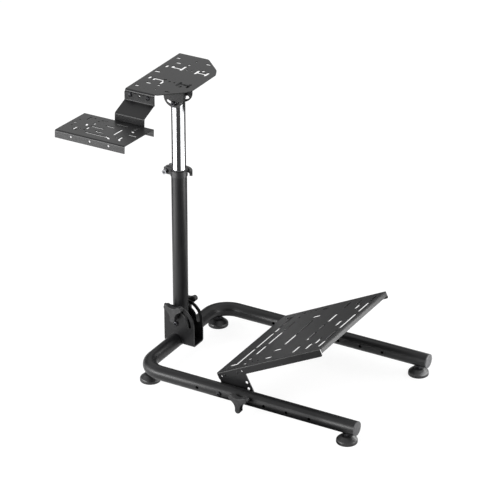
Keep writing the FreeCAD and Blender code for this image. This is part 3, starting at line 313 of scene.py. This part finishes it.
# Mast: a drawn steel tube, polished and plated with nickel and bright chrome.
# It mirrors the room in sharp upright stripes, a little blurred by the lines of drawing and of sliding in
# the bushing. They are drawn 0.8 mm wide, because the real ones are too fine to show.
CHROME_DARK, CHROME_LIGHT = "#eceef1", "#f6f7f8"
chrome = bare_metal("bright_chrome_plate", CHROME_DARK, CHROME_LIGHT, roughness=0.05, line_mm=0.8,
                    stretch=(1.0, 1.0, 0.01))
dress(chrome, "mast")

# Tilt bracket: a bent channel under the wheel plate, stitch-welded to it, whose rounded ears hold the mast.
# The four stitches are rippled beads like the bracket's weld, under the same coat.
STITCH_LENGTH = 0.018
STITCH_STEPS = 24
STITCH_BELOW_TOP = 0.0015
STITCH_SHARES = {"rear": 0.2, "front": 0.8}
dress(coat, "tilt_bracket")
ears_low, ears_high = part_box("tilt_bracket")
bead_z = ears_high.z - STITCH_BELOW_TOP
for side, edge_x in (("right", ears_high.x), ("left", ears_low.x)):
    for place, share in STITCH_SHARES.items():
        start = ears_low.y + (ears_high.y - ears_low.y) * share - STITCH_LENGTH / 2
        bead = bmesh.new()
        upright = Matrix.Translation((edge_x, start, bead_z)) @ Matrix.Rotation(math.pi / 2, 4, "X")
        bmesh.ops.create_circle(bead, segments=WELD_SIDES, radius=WELD_RADIUS, cap_ends=True, matrix=upright)
        bmesh.ops.spin(bead, geom=bead.verts[:] + bead.edges[:] + bead.faces[:], cent=(0, 0, 0),
                       axis=(1, 0, 0), angle=0, dvec=(0, STITCH_LENGTH / STITCH_STEPS, 0),
                       steps=STITCH_STEPS)
        for vert in bead.verts:
            swell = 1 + WELD_SWELL * math.sin((vert.co.y - start) / WELD_RIPPLE * math.tau)
            vert.co.x = edge_x + (vert.co.x - edge_x) * swell
            vert.co.z = bead_z + (vert.co.z - bead_z) * swell
        piece("deck_weld_" + side + "_" + place, bead, coat, "deck")

# Wheel plate, arm and shelf: laser-cut steel sheet, bent, drilled and coated black.
# The arm is screwed to the plate's flange through two of its three holes, and to the shelf's flange at its
# tail, with button-head screws, washers and nuts of the bolts' blackened steel.
ARM_SHEET = 0.003
PLATE_SHEET = 0.0025
TAIL_LEAN = math.radians(3)
TAIL_SCREW_ABOVE_EDGE = 0.009
ARM_SCREW_BELOW_TOP = 0.013
ARM_SCREW_PITCH = 0.028
HEAD_RADIUS, HEAD_HEIGHT, HEAD_RIM = 0.0058, 0.0033, 0.0007
DOME_ANGLES = (0.0, 0.25, 0.5, 0.75, 1.0)
SOCKET_FLATS, SOCKET_DEPTH = 0.002, 0.002
WASHER_RADIUS, WASHER_THICK, WASHER_EDGE = 0.0068, 0.001, 0.0002
NUT_FLATS, NUT_HEIGHT, NUT_EDGE, NUT_CHAMFER = 0.005, 0.005, 0.0003, 0.0005
SCREW_RADIUS, SCREW_END, SCREW_CHAMFER = 0.003, 0.0012, 0.0006


def to_hexagon(mesh, radius):
    """Pull the rings of one radius out to a hexagon whose flats they touch."""
    for vert in mesh.verts:
        if abs(math.hypot(vert.co.x, vert.co.y) - radius) < SAME_PLACE:
            turn = math.atan2(vert.co.y, vert.co.x) % math.radians(60) - math.radians(30)
            vert.co.x /= math.cos(turn)
            vert.co.y /= math.cos(turn)


def button_screw():
    """A button head with a hexagonal socket, on a washer, from z = 0 up."""
    top = WASHER_THICK + HEAD_HEIGHT
    crown = (HEAD_HEIGHT - HEAD_RIM) / math.sin(DOME_ANGLES[-1])
    dome = [(HEAD_RADIUS * math.cos(angle), WASHER_THICK + HEAD_RIM + crown * math.sin(angle))
            for angle in reversed(DOME_ANGLES)]
    socket = [(0, top - SOCKET_DEPTH), (SOCKET_FLATS, top - SOCKET_DEPTH), (SOCKET_FLATS, top)]
    washer = [(HEAD_RADIUS, WASHER_THICK), (WASHER_RADIUS - WASHER_EDGE, WASHER_THICK),
              (WASHER_RADIUS, WASHER_THICK - WASHER_EDGE), (WASHER_RADIUS, 0), (0, 0)]
    mesh = turned(socket + dome + washer)
    to_hexagon(mesh, SOCKET_FLATS)
    return mesh


def nut_on_screw():
    """A hexagonal nut with the screw's chamfered end standing out of it, from z = 0 up."""
    end = NUT_HEIGHT + SCREW_END
    nut = [(0, 0), (NUT_FLATS - NUT_EDGE, 0), (NUT_FLATS, NUT_CHAMFER),
           (NUT_FLATS, NUT_HEIGHT - NUT_CHAMFER), (NUT_FLATS - NUT_EDGE, NUT_HEIGHT)]
    screw = [(SCREW_RADIUS, NUT_HEIGHT), (SCREW_RADIUS, end),
             (SCREW_RADIUS - SCREW_CHAMFER, end + SCREW_CHAMFER), (0, end + SCREW_CHAMFER)]
    mesh = turned(nut + screw)
    to_hexagon(mesh, NUT_FLATS)
    return mesh


dress(coat, "wheel_plate", "shifter_arm", "shifter_plate")
plate_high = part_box("wheel_plate")[1]
shelf_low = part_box("shifter_plate")[0]
arm_low, arm_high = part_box("shifter_arm")
arm_middle = (arm_low.y + arm_high.y) / 2
outward = Vector((math.cos(TAIL_LEAN), 0, math.sin(TAIL_LEAN)))
upward = Vector((-math.sin(TAIL_LEAN), 0, math.cos(TAIL_LEAN)))
for place, offset in (("rear", -ARM_SCREW_PITCH), ("front", ARM_SCREW_PITCH)):
    spot = Vector((plate_high.x, arm_middle + offset, plate_high.z - ARM_SCREW_BELOW_TOP))
    tail_spot = Vector((arm_high.x, arm_middle + offset, shelf_low.z)) + upward * TAIL_SCREW_ABOVE_EDGE
    for name, mesh, seat, way in (
            ("arm_screw_", button_screw(), spot + Vector((ARM_SHEET, 0, 0)), (1, 0, 0)),
            ("arm_nut_", nut_on_screw(), spot - Vector((PLATE_SHEET, 0, 0)), (-1, 0, 0)),
            ("shelf_screw_", button_screw(), tail_spot - outward * ARM_SHEET, -outward),
            ("shelf_nut_", nut_on_screw(), tail_spot + outward * PLATE_SHEET, outward)):
        piece(name + place, aimed(mesh, seat, way), oxide, "deck")

# Pedal deck: a slotted sheet with turned-down edges, in the same coat, riveted to two side brackets that
# swing on the legs' bolts. The rivets are steel, with low round heads that the coat covers too.
RIVET_RADIUS, RIVET_HEIGHT = 0.003, 0.0011
# The head's outline in shares of its radius and height
RIVET_HEAD = ((0, 0), (1, 0), (1, 0.3), (0.85, 0.75), (0.5, 1), (0, 1))
# Distances up the slope and down from it, measured from the plate's low corner
RIVET_SPOTS = {"rear": (0.0244, 0.0116), "front": (0.0684, 0.0131)}
PEDAL_TILT = math.radians(26.83)
PEDAL_FOOT_AHEAD, PEDAL_FOOT_ABOVE_TUBE = 0.235, 0.0373
dress(coat, "pedal_plate", "pedal_bracket_right", "pedal_bracket_left")
pedal_low, pedal_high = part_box("pedal_plate")
slope = Vector((0, math.cos(PEDAL_TILT), math.sin(PEDAL_TILT)))
under = Vector((0, math.sin(PEDAL_TILT), -math.cos(PEDAL_TILT)))
for side, face_x, way in (("right", pedal_high.x, 1), ("left", pedal_low.x, -1)):
    low_corner = Vector((face_x, column.y + PEDAL_FOOT_AHEAD, cross_height + PEDAL_FOOT_ABOVE_TUBE))
    for place, (along, down) in RIVET_SPOTS.items():
        rivet = turned([(RIVET_RADIUS * share, RIVET_HEIGHT * rise) for share, rise in RIVET_HEAD])
        aimed(rivet, low_corner + slope * along + under * down, (way, 0, 0))
        piece("pedal_rivet_" + side + "_" + place, rivet, coat, "base")

# Camera: where the photograph was taken, measured from the column's foot.
# Its aim is the point in the middle of the picture, and its focal length is in the picture's pixels.
CAMERA_AZIMUTH = math.radians(119.71)
CAMERA_ELEVATION = math.radians(26.673)
CAMERA_DISTANCE = 7.9552
AIM = Vector((-0.1954, 0.1172, 0.2722))
FOCAL_PIXELS = 2739.5
FRAME_PIXELS = 500
SHIFT_SHARE = 0.0009
SENSOR_MM = 36.0
SEES_TO = 100.0
ahead = Vector((math.sin(CAMERA_AZIMUTH), -math.cos(CAMERA_AZIMUTH), 0))
back = ahead * math.cos(CAMERA_ELEVATION) + Vector((0, 0, math.sin(CAMERA_ELEVATION)))
camera = bpy.data.objects.new("camera", bpy.data.cameras.new("camera"))
bpy.context.scene.collection.objects.link(camera)
camera.location = column + AIM + back * CAMERA_DISTANCE
camera.rotation_euler = back.to_track_quat("Z", "Y").to_euler()
camera.data.sensor_width = SENSOR_MM
camera.data.lens = FOCAL_PIXELS / FRAME_PIXELS * SENSOR_MM
camera.data.shift_x = SHIFT_SHARE
camera.data.clip_end = SEES_TO
bpy.context.scene.camera = camera

# Floor and room: a matt white floor and walls of the same white, lit to a plain level by the room.
# The camera, metal and gloss see them as white, and the floor keeps a soft shadow of the stand, fainter for
# the camera than in the mirrored floor, where it darkens the tubes' undersides.
FLOOR_SIZE = 40.0
FLOOR_PAINT = 0.8
SHADOW_SHARE, WHITE_SHARE = 0.22, 0.86
GLOSS_SHADOW_SHARE, GLOSS_WHITE_SHARE = 0.75, 0.35
ROOM_LIGHT = 0.55
BACKDROP = 1.0


def grey(level):
    """A neutral colour of one linear level."""
    return (level, level, level, 1.0)


def seen_directly(tree):
    """1 for rays from the camera and for those that gloss or glass sends on, else 0."""
    path = add_node(tree, "ShaderNodeLightPath")
    glossy = add_node(tree, "ShaderNodeMath", links={0: (path, "Is Camera Ray"), 1: (path, "Is Glossy Ray")},
                      operation="ADD", use_clamp=True)
    return add_node(tree, "ShaderNodeMath", links={0: (glossy, "Value"), 1: (path, "Is Transmission Ray")},
                    operation="ADD", use_clamp=True)


def shadowed_white(tree, shadow_share, white_share):
    """White of its own light, which a shadow on its matt part darkens."""
    matt = add_node(tree, "ShaderNodeBsdfDiffuse", {"Color": grey(shadow_share)})
    white = add_node(tree, "ShaderNodeEmission", {"Strength": white_share})
    return add_node(tree, "ShaderNodeAddShader", links={0: (matt, "BSDF"), 1: (white, "Emission")})


floor_mesh = bmesh.new()
bmesh.ops.create_grid(floor_mesh, x_segments=1, y_segments=1, size=FLOOR_SIZE / 2)
floor_data = bpy.data.meshes.new("floor")
floor_mesh.to_mesh(floor_data)
floor_mesh.free()
floor = bpy.data.objects.new("floor", floor_data)
bpy.context.scene.collection.objects.link(floor)
floor_white, tree = new_material("white_floor")
paint = add_node(tree, "ShaderNodeBsdfDiffuse", {"Color": grey(FLOOR_PAINT)})
shown = shadowed_white(tree, SHADOW_SHARE, WHITE_SHARE)
plain = add_node(tree, "ShaderNodeMixShader", links={
    0: (seen_directly(tree), "Value"), 1: (paint, "BSDF"), 2: (shown, "Shader")})
mirrored = shadowed_white(tree, GLOSS_SHADOW_SHARE, GLOSS_WHITE_SHARE)
path = add_node(tree, "ShaderNodeLightPath")
floor_look = add_node(tree, "ShaderNodeMixShader", links={
    0: (path, "Is Glossy Ray"), 1: (plain, "Shader"), 2: (mirrored, "Shader")})
add_node(tree, "ShaderNodeOutputMaterial", links={"Surface": (floor_look, "Shader")})
floor.data.materials.append(floor_white)

room = bpy.data.worlds.new("studio")
bpy.context.scene.world = room
room.use_nodes = True
tree = room.node_tree
tree.nodes.clear()
ambient = add_node(tree, "ShaderNodeBackground", {"Color": grey(1.0), "Strength": ROOM_LIGHT})
backdrop = add_node(tree, "ShaderNodeBackground", {"Color": grey(1.0), "Strength": BACKDROP})
room_look = add_node(tree, "ShaderNodeMixShader", links={
    0: (seen_directly(tree), "Value"), 1: (ambient, "Background"), 2: (backdrop, "Background")})
add_node(tree, "ShaderNodeOutputWorld", links={"Surface": (room_look, "Shader")})

# Soft boxes: a broad lamp on the left lights the stand but isn't mirrored. A lower one, which only gloss and
# metal see, draws the tubes' long grey lines and is too low for the wheel plate to mirror from behind.
# A weaker one on the right and a small one behind do both, and two narrow ones draw the column's stripes.
SOFT_BOXES = {
    # turn about the column from the camera's side, distance, height, size, power, and what sees it
    "left_soft_box": (-58, 3.0, 1.3, (2.4, 2.2), 170, "matt"),
    "left_line_box": (-58, 3.0, 0.77, (2.4, 0.9), 108, "gloss"),
    "right_soft_box": (76, 3.0, 0.55, (1.6, 1.1), 45, "all"),
    "rear_soft_box": (120, 3.0, 1.6, (1.5, 1.0), 24, "all"),
    "left_strip": (-80, 0.70, 0.14, (0.35, 0.28), 1.15, "gloss"),
    "right_strip": (78, 0.85, 0.15, (0.35, 0.30), 2.2, "gloss"),
}
AIMED_UP_TO = 0.4
aside = Vector((0, 0, 1)).cross(ahead)
for name, (turn, away, height, size, power, seen_by) in SOFT_BOXES.items():
    lamp = bpy.data.lights.new(name, "AREA")
    lamp.shape = "RECTANGLE"
    lamp.size, lamp.size_y = size
    lamp.energy = power
    box = bpy.data.objects.new(name, lamp)
    bpy.context.scene.collection.objects.link(box)
    way = ahead * math.cos(math.radians(turn)) + aside * math.sin(math.radians(turn))
    box.location = column + way * away + Vector((0, 0, height))
    aim = box.location - column - Vector((0, 0, min(height, AIMED_UP_TO)))
    box.rotation_euler = aim.to_track_quat("Z", "Y").to_euler()
    box.visible_camera = False
    box.visible_diffuse = seen_by != "gloss"
    box.visible_glossy = seen_by != "matt"

# Painted reflections: curved grey boards round the stand and a dark sheet on the floor, which only gloss and
# metal see, and which glow with their own grey instead of being lit. They paint the chrome's dark middle
# line and edges, keep the white room's glare off the sloping pedal deck, and the floor sheet paints the
# stand's shadow into the legs' mirrored undersides.
PAINTED_REFLECTION_CARDS = {
    # distance and height of the foot and of the top, the turns spanned about the column, and the grey each
    # board glows with
    "front_card": ((0.64, 0.0), (0.64, 0.54), (-31, 31), "#434343"),
    "low_back_card": ((0.75, 0.0), (0.75, 0.24), (112, 250), "#969696"),
    "high_back_card": ((0.75, 0.24), (0.75, 0.52), (106, 255), "#3e3e3e"),
    "side_card": ((1.30, 0.20), (1.30, 0.65), (72, 110), "#303030"),
    # A dark sheet on the floor inside the base, seen only by gloss: a painted shadow under the stand,
    # mirrored by the legs' undersides.
    "floor_shadow_card": ((0.20, 0.002), (0.70, 0.002), (15, 52), "#1c1c1c"),
}
CARD_STEPS = 16
for name, (foot, top, turns, shade) in PAINTED_REFLECTION_CARDS.items():
    card_mesh = bmesh.new()
    ends = [card_mesh.verts.new(ahead * away + Vector((0, 0, height))) for away, height in (foot, top)]
    edge = card_mesh.edges.new(ends)
    first, last = [math.radians(turn) for turn in turns]
    bmesh.ops.rotate(card_mesh, verts=card_mesh.verts, cent=(0, 0, 0), matrix=Matrix.Rotation(first, 3, "Z"))
    bmesh.ops.spin(card_mesh, geom=ends + [edge], cent=(0, 0, 0), axis=(0, 0, 1), angle=last - first,
                   steps=CARD_STEPS)
    bmesh.ops.translate(card_mesh, verts=card_mesh.verts, vec=column)
    card_data = bpy.data.meshes.new(name)
    card_mesh.to_mesh(card_data)
    card_mesh.free()
    card = bpy.data.objects.new(name, card_data)
    bpy.context.scene.collection.objects.link(card)
    card_glow, tree = new_material(name)
    # Each board glows with its grey and is not lit: a painted reflection, not a real card.
    glow = add_node(tree, "ShaderNodeEmission", {"Color": linear(shade), "Strength": 1.0})
    add_node(tree, "ShaderNodeOutputMaterial", links={"Surface": (glow, "Emission")})
    card.data.materials.append(card_glow)
    card.visible_camera = card.visible_diffuse = card.visible_shadow = card.visible_transmission = False

bpy.context.scene.view_settings.view_transform = "Standard"
